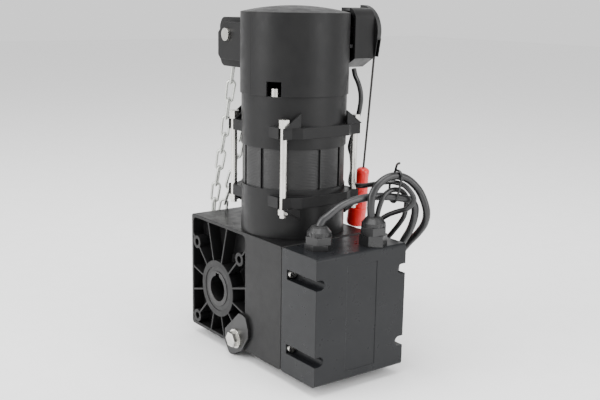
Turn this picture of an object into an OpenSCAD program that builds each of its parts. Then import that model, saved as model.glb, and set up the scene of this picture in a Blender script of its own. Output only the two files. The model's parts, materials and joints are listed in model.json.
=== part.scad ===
// Industrial door opener: a worm gearbox with a hollow output shaft, a flanged motor on top,
// a terminal hood at one end, an emergency hand chain and a pull-cord clutch release.
// Origin at the mounting-side end of the shaft bore, bore along Y, hood towards +X, +Z up.

/* [Gearbox] */
// Length of the gearbox casting
gearbox_len = 155.5; // [154:0.5:157]
// Depth from the mounting face to the rear face
box_depth = 101; // [101:0.5:104]
// Height of the box
box_h = 115; // [114:0.5:117]
// Length of the terminal hood
hood_len = 50.5; // [49:0.5:54]
// Thickness of the cast walls
wall = 4; // [3.5:0.5:4.5]
// Number of stiffening ribs in the face pocket
rib_count = 12; // [6:1:16]
// Distance between the tapped mounting holes
hole_pitch = 77.4; // [76:0.2:78]

/* [Output shaft] */
// Bore of the hollow shaft (one inch)
bore_d = 25.4; // [24:0.1:26]
// Outside diameter of the hollow shaft
shaft_d = 34.5; // [33:0.5:35]
// Width of the keyway
key_w = 6.35; // [5:0.05:7]

/* [Motor] */
// Radius of the bells
bell_r = 48.5; // [48:0.1:49]
// Radius of the laminated stator
stator_r = 47.5; // [47:0.1:48]
// Distance of the tie bolts from the motor axis, along X and Y
tie_offset = 40; // [39.5:0.1:40.5]
// Diameter of the tie bolts
tie_d = 6; // [5:0.5:6]

/* [Cap] */
// Radius of the cap
cap_r = 50; // [49.5:0.1:50]
// Height of the dome on the cap
dome_h = 6; // [4:0.5:8]

/* [Hand drive] */
// Wire diameter of the hand chain
chain_wire = 3; // [2.5:0.1:3]
// Width of one chain link
chain_w = 11; // [10:0.5:11]
// Teeth on the chain wheel's pinion and on each idler
small_teeth = 12; // [12:12:12]
// Teeth on the cross gear
cross_teeth = 18; // [18:18:18]

/* [Cables] */
// Diameter of the two long cables
cable_d = 7; // [6:0.5:7]
// Diameter of the short link cable and of the motor lead
lead_d = 4.6; // [4:0.2:5]
// Diameter of the release cord
cord_d = 2.2; // [2:0.1:2.4]

/* [Hidden] */
$fn = 64;

cast = [0.16, 0.16, 0.165];
dark = [0.10, 0.10, 0.11];
slate = [0.17, 0.18, 0.20];
zinc = [0.80, 0.80, 0.76];
steel = [0.60, 0.60, 0.62];
brass = [0.72, 0.58, 0.28];
red = [0.80, 0.06, 0.06];
copper = [0.70, 0.38, 0.20];
green = [0.10, 0.40, 0.20];
grey = [0.32, 0.32, 0.33];

// Box
left_x = -48.5;
seam_x = left_x + gearbox_len;
right_x = seam_x + hood_len;
base_z = -48.5;
top_z = base_z + box_h;
floor_z = -57.6;
rear_y = box_depth;
cover_y = rear_y - wall;
cover_x = 90;
gasket = 1;
joint_gap = 0.1;
corner = 3;

// Face pocket, hub and bosses
pocket_x = 49.3;
pocket_rim = 3;
pocket_y = 12;
web_y = 14;
chamber_y = 18;
hub_r = 28;
ring_r = 37;
boss_r = 6.5;
tap_r = 3.4;
tap_depth = 14;
rib_t = 1.8;
hole_xz = hole_pitch / 2;
boss_places = [[-hole_xz, -hole_xz], [-hole_xz, hole_xz], [hole_xz, hole_xz], [hole_xz, -hole_xz]];
bolt_r = 4;
lug_outline = [[-20, -9], [-13, -18.1], [-10, -18.9], [-6, -18.1], [9, -10], [20, 6], [20, 14], [16, 24],
    [11, 26], [4, 26], [-20, 4]];
screw_places = [[-44, 9], [-44, 60], [84, 60], [84, -20], [-44, -42], [20, 60], [84, 9]];
anchor_screws = [-16, 14, 60];

// Output shaft and its bearings
shaft_r = shaft_d / 2;
running = 0.05;
bearing_r = 26;
seal_r = 22;
seal_y = 5;
bearing_w = 11;
key_depth = 2.6;
rear_bearing_y = cover_y - bearing_w - 2;

// Worm drive
motor_x = 53.5;
motor_y = 50.5;
wheel_teeth = 40;
wheel_module = 2;
wheel_r = wheel_teeth * wheel_module / 2;
wheel_w = 16;
worm_lead = 180 * wheel_module * PI / 180;
worm_len = 5 * worm_lead;
worm_root_r = 11.2;
worm_tip_r = 15.4;
worm_slices = 60;
lead_angle = 4.24;
motor_shaft_r = 8;
worm_bearing_r = 17;
worm_support_r = 20;

// Limit drive
belt_y = 68;
belt_w = 6;
pulley_r = 22;
cam_pulley_r = 11;
belt_gap = 0.3;
belt_t = 1.5;
cam_x = 129;
cam_shaft_r = 4;

// Hood channels and glands
channel_r = 4.5;
channel_x = 115.5;
channel_z = [43.5, -25];
channel_ys = [channel_r, box_depth - channel_r];
panel_depth = 0.4;
gland_a = [129.2, 23.8];
gland_b = [144.4, 72.9];
gland_thread_r = 8;

// Motor stack
bell_low_z = top_z;
stator_z = bell_low_z + 45;
bell_up_z = stator_z + 36.5;
cap_z = bell_up_z + 46.5;
cap_top_z = cap_z + 72.5;
bell_up_r = bell_r + 0.2;
bell_inner_r = 41.5;
flange_t = 10;
nut_r = 5;
gusset_x = 4.4;
flange_low_z = bell_low_z + 30;
flange_up_z = bell_up_z + 10.5;
slot_angles = [-102, -72, -8, 24, 78, 108, 172, 204];
cap_split_x = 56;
cap_wall = 3;
cap_screw_angle = -57.5;
cap_screw_r = 46;
dome_r = (cap_r * cap_r + dome_h * dome_h) / (2 * dome_h);

// Hand drive
wheel_x = -14.5;
wheel_z = 234.5;
chain_y = 40;
hand_module = 2 * (motor_x - wheel_x) / (5 * small_teeth + cross_teeth);
small_r = small_teeth * hand_module / 2;
cross_r = cross_teeth * hand_module / 2;
idler_one_x = wheel_x + 2 * small_r;
idler_two_x = wheel_x + 4 * small_r;
tooth_share = 0.49;
gear_y0 = 24;
gear_y1 = 29.5;
pin_r = 4;
pin_place = [-13.6, 244.6];
plate_y0 = 30;
plate_y1 = 31.8;
bevel_teeth = 10;
crown_teeth = 17;
bevel_module = 2;
bevel_r = bevel_teeth * bevel_module / 2;
bevel_y0 = 32.3;
bevel_y1 = 35.3;
crown_r = crown_teeth * bevel_module / 2;
crown_plane_z = wheel_z - bevel_r;
cut_r = cap_r + 0.05;

// Release
lever_x = 66;
lever_z = 250;
lever_y0 = 118;
lever_y1 = 122.6;
lever_r = 24;
crank_arm = 8;
handle_top = [74, 119.6, 120.6];
handle_low = [64, 119.6, 62.3];
cord_top = [84.6, 119.6, 232];

// Routes of the free cords, in order from the part to the floor
chain_front_route = [[-32.9, 40, 215], [-35.6, 40, 206], [-43, 40, 176], [-50, 40, 146], [-58, 40, 118],
    [-66, 40, 90], [-74, 41, 60], [-77, 44, 34], [-73, 52, 10], [-66, 66, -8], [-61, 80, -16],
    [-59, 92, -18.6]];
chain_back_route = [[-2.4, 40, 215], [-5, 40, 200], [-12.5, 40, 171], [-22, 40, 141], [-35, 40, 105],
    [-46, 40, 79], [-55, 41, 66], [-58, 43, 54], [-59.8, 45.6, 30], [-60.2, 49.4, 6], [-64, 54, -18],
    [-70, 58, -38], [-77, 61.4, -49], [-84, 63.4, -52]];
cable_a_route = [[129.2, 24, 86], [129.8, 27, 91.4], [131, 32, 95], [132.8, 43, 102], [134.4, 55, 106],
    [136, 68, 107.6], [137, 81, 107.8], [141, 94, 106.8], [148.6, 108, 104.4], [149, 115, 100.5],
    [149.4, 118, 94], [147, 119, 84], [141, 120, 72], [132, 120, 58], [126, 119.5, 40], [124, 118.5, 5],
    [121, 118, -25], [110, 117, -46], [92, 117, -53.5], [58, 117, -54], [20, 117, -54]];
cable_b_route = [[144.2, 70, 91], [144, 69.4, 100], [144, 70, 109], [144.3, 72.4, 115.5],
    [145, 78, 121.7], [146, 87, 126], [147, 97, 126.4], [149, 108, 122.4], [152, 117, 114], [155, 122, 104],
    [157, 125, 92], [152, 128, 80], [142, 129, 68], [130, 127.5, 55], [119, 125.5, 38], [115.5, 123, 10],
    [113.5, 122.5, -20], [107, 124, -42], [94, 126, -52], [74, 125, -52.6], [54, 122.6, -46],
    [36, 119.6, -37], [20, 117.4, -32.4]];
link_route = [[144.6, 76.4, 91], [144.4, 78, 97], [144.3, 80.4, 103], [144.2, 84, 109], [144, 91, 113],
    [144, 99, 113.3], [143.7, 106, 111], [143.4, 111.4, 106], [142.8, 113, 99], [141, 113, 88],
    [136, 113, 80], [130, 113, 73], [123, 112.6, 65], [117.5, 110.6, 58], [115, 107.4, 54],
    [114.5, 104, 53]];
lead_route = [[80, 99, 216], [83, 98.4, 210], [88, 98, 204], [91.6, 98, 196], [92.4, 98, 188],
    [90.6, 98, 178], [87.6, 98, 170], [85.4, 98, 162], [80, 98.6, 150], [77.6, 99, 142], [77, 102, 134],
    [77, 103, 121], [77.4, 101, 112], [80.4, 99, 107.6], [88, 98, 107.6], [101, 97.5, 109.6],
    [112, 96.5, 112.6], [123, 95.5, 115.6], [132, 95.5, 118.4], [141, 97.5, 119.8], [150, 103, 117.4],
    [156, 108, 109], [157, 108, 103], [153, 105, 97], [144, 102, 93], [134, 99, 88],
    [126.6, 96, 82], [123, 92, 76], [122, 90, 70]];
coil_in_r = 28;
coil_out_r = 50;
coil_h = 22;
coil_a_place = [-2, 163, floor_z];
coil_b_place = [-2, 163, floor_z + coil_h + 0.2];
chain_coil_place = [-112, 122, floor_z];
chain_coil_in_r = 26;
chain_coil_out_r = 60;
chain_coil_h = 44.4;
plug_a_place = [-44, 168, floor_z + 2 * coil_h + 0.4];
plug_b_place = [-7, 121, floor_z + 2 * coil_h + 0.4];

// Shapes shared by several sub-parts
module plate_y(y0, y1) translate([0, y1, 0]) rotate([90, 0, 0]) linear_extrude(y1 - y0) children();
module rod_y(y0, y1, r, x = 0, z = 0) translate([x, y1, z]) rotate([90, 0, 0]) cylinder(h = y1 - y0, r = r);
module rod_x(x0, x1, r, y, z) translate([x0, y, z]) rotate([0, 90, 0]) cylinder(h = x1 - x0, r = r);
module at_motor(z = 0) translate([motor_x, motor_y, z]) children();
module box(x0, x1, y0, y1, z0, z1) translate([x0, y0, z0]) cube([x1 - x0, y1 - y0, z1 - z0]);
module rounded(x0, x1, z0, z1, r) {
    translate([x0 + r, z0]) square([x1 - x0 - 2 * r, z1 - z0]);
    translate([x0, z0 + r]) square([x1 - x0, z1 - z0 - 2 * r]);
    for (x = [x0 + r, x1 - r], z = [z0 + r, z1 - r]) translate([x, z]) circle(r);
}

// A spur gear outline with straight-flanked teeth; share is the tooth's share of the pitch
module gear_outline(teeth, mod, phase, share, tip = 0.85, root = 1.15) {
    pitch = 360 / teeth;
    root_r = (teeth / 2 - root) * mod;
    tip_r = (teeth / 2 + tip) * mod;
    circle(root_r);
    for (i = [0:teeth - 1]) rotate(phase + i * pitch)
        polygon([
            for (p = [[root_r - 0.4, 0.62], [tip_r, 0.30]]) [p[0] * cos(p[1] * share * pitch),
                -p[0] * sin(p[1] * share * pitch)],
            for (p = [[tip_r, 0.30], [root_r - 0.4, 0.62]]) [p[0] * cos(p[1] * share * pitch),
                p[0] * sin(p[1] * share * pitch)]]);
}

// A tube swept along a smooth curve through the points of a route
function unit(v) = v / norm(v);
function bend_point(a, b, c, d, t) = 0.5 * (2 * b + (c - a) * t + (2 * a - 5 * b + 4 * c - d) * t * t
    + (3 * b - a - 3 * c + d) * t * t * t);
function smooth_route(p, n) = [
    for (i = [0:len(p) - 2], k = [0:n - 1]) bend_point(p[max(i - 1, 0)], p[i], p[i + 1],
        p[min(i + 2, len(p) - 1)], k / n),
    p[len(p) - 1]];
function heading(p, i) = unit(p[min(i + 1, len(p) - 1)] - p[max(i - 1, 0)]);
function side_on(n, t) = unit(n - t * (n * t));
function sides_along(p, i, n) = i >= len(p) ? []
    : let(s = side_on(n, heading(p, i))) concat([s], sides_along(p, i + 1, s));
module cord_tube(route, d, n, sides) {
    p = smooth_route(route, n);
    s = sides_along(p, 0, [0.3, 1, 0.2]);
    rings = [for (i = [0:len(p) - 1], k = [0:sides - 1]) let(a = 360 * k / sides)
        p[i] + d / 2 * (s[i] * cos(a) + cross(heading(p, i), s[i]) * sin(a))];
    last = (len(p) - 1) * sides;
    polyhedron(rings, concat(
        [[for (k = [0:sides - 1]) sides - 1 - k]], [[for (k = [0:sides - 1]) last + k]],
        [for (i = [0:len(p) - 2], k = [0:sides - 1]) let(a = i * sides, b = (k + 1) % sides)
            [a + k, a + b, a + sides + b]],
        [for (i = [0:len(p) - 2], k = [0:sides - 1]) let(a = i * sides, b = (k + 1) % sides)
            [a + k, a + sides + b, a + sides + k]]), convexity = 10);
}
module coil(place, r_in, r_out, h) translate(place) rotate_extrude()
    rounded(r_in, r_out, 0, h, cable_d / 2);

// Gearbox
module pocket_outline() difference() {
    rounded(left_x + pocket_rim, pocket_x, base_z + pocket_rim, top_z - pocket_rim, 5);
    circle(hub_r);
    for (i = [0:rib_count - 1]) rotate((i + 0.5) * 360 / rib_count)
        translate([hub_r - 1, -rib_t / 2]) square([90, rib_t]);
    for (p = boss_places) translate(p) circle(boss_r);
}
module gear_housing() color(cast) difference() {
    union() {
        difference() {
            union() {
                plate_y(0, cover_y) rounded(left_x, seam_x, base_z, top_z, corner);
                box(cover_x, seam_x, cover_y - 1, rear_y, base_z, top_z);
            }
            box(left_x + wall, seam_x - wall, chamber_y, cover_y, base_z + wall, top_z - wall);
            plate_y(-1, pocket_y) pocket_outline();
            plate_y(pocket_y - 1, web_y) difference() {
                circle(ring_r);
                circle(hub_r);
            }
        }
        for (p = boss_places) rod_y(web_y + 1, tap_depth + 6, boss_r, p[0], p[1]);
        at_motor(base_z + wall - 1) cylinder(h = 10.5, r = worm_support_r);
        at_motor(top_z - wall - 12) cylinder(h = 13, r = worm_support_r);
        for (y = [channel_r + 1, rear_y - channel_r - 1], z = channel_z) rod_x(seam_x - 16, seam_x - 1, 5, y, z);
    }
    rod_y(-1, seal_y, seal_r);
    rod_y(seal_y - 1, chamber_y + 1, bearing_r);
    for (i = [0:2]) rod_y(-1, tap_depth, tap_r, boss_places[i][0], boss_places[i][1]);
    rod_y(-1, tap_depth, bolt_r, hole_xz, -hole_xz);
    at_motor(base_z + wall) cylinder(h = 20, r = worm_bearing_r);
    at_motor(top_z - wall - 13) cylinder(h = 30, r = worm_bearing_r);
    for (y = [channel_r + 1, rear_y - channel_r - 1], z = channel_z) rod_x(seam_x - 14, seam_x + 1, 2, y, z);
    box(seam_x - 10, seam_x + 1, belt_y - 2, belt_y + belt_w + 2, -pulley_r - 5, pulley_r + 5);
}
module rear_cover() color(cast) difference() {
    union() {
        plate_y(cover_y, rear_y) rounded(left_x, cover_x - joint_gap, base_z, top_z, corner);
        rod_y(rear_bearing_y - 2, cover_y + 1, hub_r);
        for (p = boss_places) rod_y(rear_y - tap_depth, rear_y - 1, boss_r - 1, p[0], p[1]);
    }
    rod_y(rear_bearing_y - 3, rear_bearing_y + bearing_w, bearing_r);
    rod_y(rear_bearing_y, rear_y + 1, seal_r);
    for (p = boss_places) rod_y(rear_y - tap_depth - 1, rear_y + 1, tap_r, p[0], p[1]);
    for (p = screw_places) rod_y(cover_y - 1, rear_y + 1, 2.5, p[0], p[1]);
    for (x = anchor_screws) rod_y(cover_y - 1, rear_y + 1, 2.5, x, -hole_xz + 2);
}
module cover_screws() color(zinc) {
    for (p = screw_places) {
        rod_y(rear_y, rear_y + 3.4, 4.4, p[0], p[1]);
        rod_y(cover_y, rear_y + 1, 2.5, p[0], p[1]);
    }
    for (x = anchor_screws) {
        rod_y(rear_y + 3, rear_y + 6.4, 4.4, x, -hole_xz + 2);
        rod_y(cover_y, rear_y + 4, 2.5, x, -hole_xz + 2);
    }
}
module hollow_shaft() color(steel) difference() {
    rod_y(0, rear_y, shaft_r);
    rod_y(-1, rear_y + 1, bore_d / 2);
    box(-key_w / 2, key_w / 2, -1, rear_y + 1, 0, bore_d / 2 + key_depth);
}
module worm_wheel() color(brass) difference() {
    union() {
        rod_y(motor_y - wheel_w / 2, motor_y + wheel_w / 2, wheel_r - 1.2 * wheel_module);
        for (i = [0:wheel_teeth - 1]) rotate([0, i * 360 / wheel_teeth, 0])
            translate([wheel_r - 3, motor_y, 0]) rotate([-lead_angle, 0, 0])
                translate([0, wheel_w / 2, 0]) rotate([90, 0, 0])
                    linear_extrude(wheel_w) polygon([[0, -1.9], [4.8, -0.8], [4.8, 0.8], [0, 1.9]]);
    }
    rod_y(0, rear_y, shaft_r);
    for (i = [0:5]) rotate([0, i * 60, 0]) rod_y(0, rear_y, 5, 27, 0);
}
module drive_pulley() color(grey) difference() {
    rod_y(belt_y, belt_y + belt_w, pulley_r);
    rod_y(0, rear_y, shaft_r);
}
module shaft_bearings() color(steel) difference() {
    union() {
        rod_y(seal_y, seal_y + bearing_w, bearing_r);
        rod_y(rear_bearing_y, rear_bearing_y + bearing_w, bearing_r);
    }
    rod_y(0, rear_y, shaft_r + running);
}
module shaft_seals() color(dark) difference() {
    union() {
        rod_y(0.6, seal_y, seal_r);
        rod_y(rear_bearing_y + bearing_w, rear_y - 0.6, seal_r);
    }
    rod_y(0, rear_y, shaft_r + running);
}
module worm_outline() {
    circle(worm_root_r, $fn = 24);
    polygon([for (a = [-88:22:88]) let(r = abs(a) > 50 ? worm_root_r + (88 - abs(a)) / 38 * 4.2 : worm_tip_r)
        [r * cos(a), r * sin(a)]]);
}
module worm_shaft() color(steel) at_motor() {
    translate([0, 0, base_z + wall + 1]) cylinder(h = cap_z + 50 - base_z - wall - 1, r = motor_shaft_r);
    translate([0, 0, cap_z + 13.5]) cylinder(h = 5.7, r = 11);
    rotate(-180 * worm_len / worm_lead) translate([0, 0, -worm_len / 2])
        linear_extrude(worm_len, twist = -360 * worm_len / worm_lead, slices = worm_slices) worm_outline();
}
module worm_bearings() color(steel) at_motor() difference() {
    union() {
        translate([0, 0, base_z + wall]) cylinder(h = 9.4, r = worm_bearing_r);
        translate([0, 0, top_z - 13]) cylinder(h = 10, r = worm_bearing_r);
        translate([0, 0, cap_z - 10]) cylinder(h = 9, r = 16);
    }
    translate([0, 0, base_z]) cylinder(h = 400, r = motor_shaft_r + running);
}
module anchor_lug() color(dark) difference() {
    translate([hole_xz, 0, -hole_xz]) plate_y(-3, 0) polygon(lug_outline);
    rod_y(-4, 1, bolt_r + 0.3, hole_xz, -hole_xz);
}
module anchor_plate() color(dark) difference() {
    plate_y(rear_y, rear_y + 3) rounded(-30, 105, floor_z, -30, 2);
    for (x = anchor_screws) rod_y(rear_y - 1, rear_y + 4, 2.6, x, -hole_xz + 2);
    rod_y(rear_y - 1, rear_y + 4, boss_r, hole_xz, -hole_xz);
    box(-10, 10, rear_y - 1, rear_y + 4, floor_z - 1, floor_z + 6);
}
module flange_bolt() color(zinc) {
    rod_y(-5, -3, 9.2, hole_xz, -hole_xz);
    translate([hole_xz, -5, -hole_xz]) rotate([90, 0, 0]) cylinder(h = 5, r = 7.5, $fn = 6);
    rod_y(-4, 12, bolt_r, hole_xz, -hole_xz);
}

// Terminal hood
module channel(y, z) {
    side = y < rear_y / 2 ? 0 : 1;
    rod_x(channel_x, right_x + 1, channel_r, y, z);
    box(channel_x, right_x + 1, side == 0 ? -1 : y, side == 0 ? y : rear_y + 1, z - channel_r, z + channel_r);
}
module terminal_hood() color(slate) difference() {
    union() {
        difference() {
            plate_y(0, rear_y) rounded(seam_x + gasket, right_x, base_z, top_z, corner);
            box(seam_x, right_x - wall, 3, rear_y - 3, base_z + wall, top_z - wall);
        }
        for (y = [0.5, rear_y - 13.5], z = channel_z)
            box(seam_x + gasket, right_x - 1, y, y + 13, z - 8, z + 8);
        for (y = [2, rear_y - 14]) rod_y(y, y + 12, 8, cam_x, 0);
    }
    for (y = channel_ys, z = channel_z) channel(y, z);
    box(right_x - panel_depth, right_x + 1, 33.5, 67.3, -40, 55.5);
    for (y = [channel_r + 1, rear_y - channel_r - 1], z = channel_z) rod_x(seam_x, channel_x + 1, 2.2, y, z);
    rod_y(10, rear_y - 10, cam_shaft_r + running, cam_x, 0);
    for (g = [gland_a, gland_b]) translate([g[0], g[1], top_z - 8]) cylinder(h = 9, r = gland_thread_r);
    rod_y(rear_y - 8, rear_y + 1, 4, 114.5, 53);
    translate([122, 90, top_z - 8]) cylinder(h = 9, r = 4);
}
module hood_gasket() color(dark) difference() {
    box(seam_x, seam_x + gasket, 0.4, rear_y - 0.4, base_z + 0.4, top_z - 0.4);
    box(seam_x - 1, seam_x + 2, 14, rear_y - 14, base_z + wall + 1, top_z - wall - 1);
    for (y = [channel_r + 1, rear_y - channel_r - 1], z = channel_z) rod_x(seam_x - 1, seam_x + 2, 2.2, y, z);
}
module hood_screws() color(zinc) for (y = channel_ys, z = channel_z) {
    side = y < rear_y / 2 ? 1 : -1;
    rod_x(channel_x, channel_x + 3.4, 3.6, y, z);
    rod_x(seam_x - 12, channel_x + 1, 1.9, y + side, z);
}
module circuit_board() color(green) {
    box(146, 147.6, 18, 84, -38, 34);
    for (y = [24, 78], z = [-32, 28]) rod_x(147.6, right_x - wall, 2.5, y, z);
}
module terminal_block() color(grey) for (i = [0:7])
    box(137, 146, 24 + 7 * i, 30.6 + 7 * i, 22, 33);
module cam_shaft() color(steel) {
    rod_y(10.5, rear_y - 10.5, cam_shaft_r, cam_x, 0);
    rod_y(belt_y, belt_y + belt_w, cam_pulley_r, cam_x, 0);
    for (i = [0:3]) rod_y(20 + 10 * i, 24 + 10 * i, 9, cam_x + 1.5 * cos(90 * i), 1.5 * sin(90 * i));
}
module belt_loop(grow) {
    circle(pulley_r + grow);
    translate([cam_x, 0]) circle(cam_pulley_r + grow);
    lean = acos((pulley_r - cam_pulley_r) / cam_x);
    for (s = [-1, 1]) polygon([[0, 0], [(pulley_r + grow) * cos(lean), s * (pulley_r + grow) * sin(lean)],
        [cam_x + (cam_pulley_r + grow) * cos(lean), s * (cam_pulley_r + grow) * sin(lean)], [cam_x, 0]]);
}
module limit_belt() color(dark) plate_y(belt_y + 0.5, belt_y + belt_w - 0.5) difference() {
    belt_loop(belt_gap + belt_t);
    belt_loop(belt_gap);
}

// Cable glands
module gland_bodies() color(dark) {
    for (g = [[gland_a, 5], [gland_b, 10]]) translate([g[0][0], g[0][1], top_z]) {
        cylinder(h = g[1], r = 12.8, $fn = 6);
        translate([0, 0, -8]) cylinder(h = 9, r = gland_thread_r);
    }
}
module gland_nuts() color(dark) {
    for (g = [[gland_a, 5], [gland_b, 10]]) translate([g[0][0], g[0][1], top_z + g[1]]) {
        rotate(17) cylinder(h = 7, r = 12.6, $fn = 6);
        translate([0, 0, 6.5]) cylinder(h = 4, r = 10.5);
        translate([0, 0, 10.5]) cylinder(h = 4, r1 = 10.5, r2 = 7.4);
    }
}
module grommets() color(dark) {
    rod_y(rear_y, rear_y + 3, 5.5, 114.5, 53);
    rod_y(rear_y - 4, rear_y + 1, 4, 114.5, 53);
    translate([122, 90, top_z]) cylinder(h = 3.5, r = 5.5);
    translate([122, 90, top_z - 4]) cylinder(h = 5, r = 4);
}

// Motor
module flange_outline() difference() {
    polygon([for (c = [[1, -1], [1, 1], [-1, 1], [-1, -1]]) let(q = [[44, 43.5], [44, 34], [49, 26]],
        way = c[0] * c[1] > 0) for (k = [0:2]) let(p = q[way ? 2 - k : k]) [c[0] * p[0], c[1] * p[1]]]);
    for (x = [-tie_offset, tie_offset], y = [-1, 1]) {
        translate([x, y * tie_offset]) circle(tie_d / 2 + 0.3);
        translate([x - tie_d / 2 - 0.3, y < 0 ? -tie_offset - 6 : tie_offset])
            square([tie_d + 0.6, 6]);
    }
}
module gusset(x, y, z, up) translate([x, y, z]) for (s = [-1, 1])
    translate([s * gusset_x, 0, 0]) rotate([90, 0, 90]) translate([0, 0, s > 0 ? 0 : -2])
        linear_extrude(2) polygon(y < 0 ? [[-3.4, 0], [14, 0], [14, up]] : [[3.4, 0], [-14, 0], [-14, up]]);
module lower_bell() color(cast) at_motor() difference() {
    union() {
        translate([0, 0, bell_low_z]) cylinder(h = 45, r = bell_r);
        translate([0, 0, flange_low_z]) linear_extrude(flange_t) flange_outline();
        for (x = [-tie_offset, tie_offset], y = [-tie_offset, tie_offset]) gusset(x, y, flange_low_z, -10);
    }
    translate([0, 0, bell_low_z + 8]) cylinder(h = 60, r = bell_inner_r + 1);
    translate([0, 0, bell_low_z - 1]) cylinder(h = 60, r = 12);
}
module stator_core() color(grey) at_motor(stator_z) difference() {
    cylinder(h = 36.5, r = stator_r);
    translate([0, 0, -1]) cylinder(h = 40, r = 30);
    for (a = slot_angles) rotate(a) translate([stator_r - 2, -1.8, -1]) cube([5, 3.6, 40]);
}
module windings() color(copper) at_motor() difference() {
    union() {
        translate([0, 0, stator_z - 14]) cylinder(h = 14, r = 41);
        translate([0, 0, bell_up_z]) cylinder(h = 14, r = 41);
    }
    cylinder(h = 300, r = 31);
}
module rotor_core() color(steel) at_motor(stator_z) difference() {
    translate([0, 0, -4]) cylinder(h = 44.5, r = 29.4);
    translate([0, 0, -5]) cylinder(h = 50, r = motor_shaft_r);
}
module upper_bell() color(cast) at_motor() difference() {
    union() {
        translate([0, 0, bell_up_z]) cylinder(h = 46.5, r = bell_up_r);
        translate([0, 0, flange_up_z]) linear_extrude(flange_t) flange_outline();
        for (x = [-tie_offset, tie_offset], y = [-tie_offset, tie_offset])
            gusset(x, y, flange_up_z + flange_t, 12.5);
    }
    translate([0, 0, bell_up_z - 1]) cylinder(h = 36.5, r = bell_inner_r);
    translate([0, 0, bell_up_z]) cylinder(h = 60, r = 12);
    translate([0, 0, cap_z - 10]) cylinder(h = 20, r = 16);
    rotate(62) translate([0, 9, 0]) rotate([90, 0, 0]) linear_extrude(18)
        polygon([[56, cap_z - 2], [48.4, cap_z - 2], [43.6, cap_z - 20], [43.6, flange_up_z + flange_t + 1],
            [56, flange_up_z + flange_t + 1]]);
    rotate(cap_screw_angle) translate([cap_screw_r, 0, cap_z - 8]) cylinder(h = 9, r = 2);
    rotate(cap_screw_angle + 180) translate([cap_screw_r, 0, cap_z - 8]) cylinder(h = 9, r = 2);
}
module tie_bolts() color(zinc) at_motor() for (x = [-1, 1], y = [-1, 1])
    translate([x * tie_offset, y * tie_offset, 0]) {
        translate([0, 0, flange_low_z - 8]) cylinder(h = flange_up_z + flange_t + 1 - flange_low_z + 8, r = tie_d / 2);
        translate([0, 0, flange_up_z + flange_t]) rotate(30) cylinder(h = 7.5, r = nut_r, $fn = 6);
        translate([0, 0, flange_low_z - 5]) rotate(30) cylinder(h = 5, r = nut_r, $fn = 6);
    }

// Cap
module cap_shell(low) difference() {
    intersection() {
        at_motor(low) cylinder(h = cap_top_z + dome_h - low, r = cap_r);
        at_motor(cap_top_z + dome_h - dome_r) sphere(r = dome_r, $fn = 96);
    }
    at_motor(low - 1) cylinder(h = cap_top_z - low - 2, r = cap_r - cap_wall);
    for (s = [0, 180]) at_motor() rotate(cap_screw_angle + s)
        translate([cap_screw_r - 5.5, -7, low - 1]) cube([20, 14, 14]);
}
module cap_rear() color(cast) difference() {
    cap_shell(cap_z);
    box(cap_split_x, 200, -50, 200, 0, 300);
    box(-20, 40, 22, 51, wheel_z - 14, wheel_z + 14);
}
module cap_cover() color(cast) difference() {
    cap_shell(cap_z);
    box(-50, cap_split_x + joint_gap, -50, 200, 0, 300);
    box(cap_split_x, 71.5, 85, 105, 228, 243);
}
module cap_screws() color(zinc) for (s = [0, 180]) at_motor() rotate(cap_screw_angle + s)
    translate([cap_screw_r, 0, 0]) {
        translate([0, 0, cap_z]) cylinder(h = 7, r = 3.75);
        translate([0, 0, cap_z - 8]) cylinder(h = 9, r = 2);
    }

// Hand-chain guard
module guard_body() color(cast) difference() {
    union() {
        difference() {
            union() {
                plate_y(22, plate_y0) rounded(-30, 20, 221, 256.2, 4);
                plate_y(plate_y0, 50) rounded(-42, 20, 213.5, 260.5, 8);
            }
            at_motor(0) cylinder(h = 400, r = cut_r);
            plate_y(23.5, plate_y0) rounded(-28.6, 40, 222.1, 248, 3);
            box(-38.5, 20, 33, 47, 200, 257);
        }
        box(4, 76, plate_y0, plate_y1, 226, 245);
    }
    rod_y(20, 60, 5 + running, wheel_x, wheel_z);
    rod_y(20, 24, 3, pin_place[0], pin_place[1]);
    for (x = [idler_one_x, idler_two_x, motor_x]) rod_y(20, 40, pin_r + running, x, wheel_z);
}
module guard_cover() color(cast) difference() {
    plate_y(20, 22)
        polygon([[-30.2, 225], [-26, 221], [9, 221], [9, 256.2], [-19.6, 256.2], [-30.2, 246]]);
    at_motor(0) cylinder(h = 400, r = cut_r);
    rod_y(19, 23, 3, pin_place[0], pin_place[1]);
}
module guard_pin() color(zinc) {
    rod_y(17, 20, 6, pin_place[0], pin_place[1]);
    rod_y(19, 23.4, 3, pin_place[0], pin_place[1]);
}
module hand_gear(x, teeth, phase) plate_y(gear_y0, gear_y1) translate([x, wheel_z])
    gear_outline(teeth, hand_module, phase, tooth_share);
module chain_wheel() color(steel) {
    hand_gear(wheel_x, small_teeth, 0);
    rod_y(gear_y0, 49.6, 5, wheel_x, wheel_z);
    difference() {
        rod_y(34, 46, 21, wheel_x, wheel_z);
        translate([wheel_x, chain_y, wheel_z]) rotate([90, 0, 0]) rotate_extrude()
            translate([23, 0]) circle(6.2);
    }
}
module idler(x, phase) {
    hand_gear(x, small_teeth, phase);
    rod_y(gear_y0, plate_y1, pin_r, x, wheel_z);
}
module idler_one() color(steel) idler(idler_one_x, 180 / small_teeth);
module idler_two() color(steel) idler(idler_two_x, 0);
module cross_gear() color(steel) {
    hand_gear(motor_x, cross_teeth, 180 / cross_teeth);
    rod_y(gear_y0, 36, pin_r, motor_x, wheel_z);
    plate_y(bevel_y0, bevel_y1) translate([motor_x, wheel_z])
        gear_outline(bevel_teeth, bevel_module, 18, 0.6, 0.75, 1.2);
}
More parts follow.
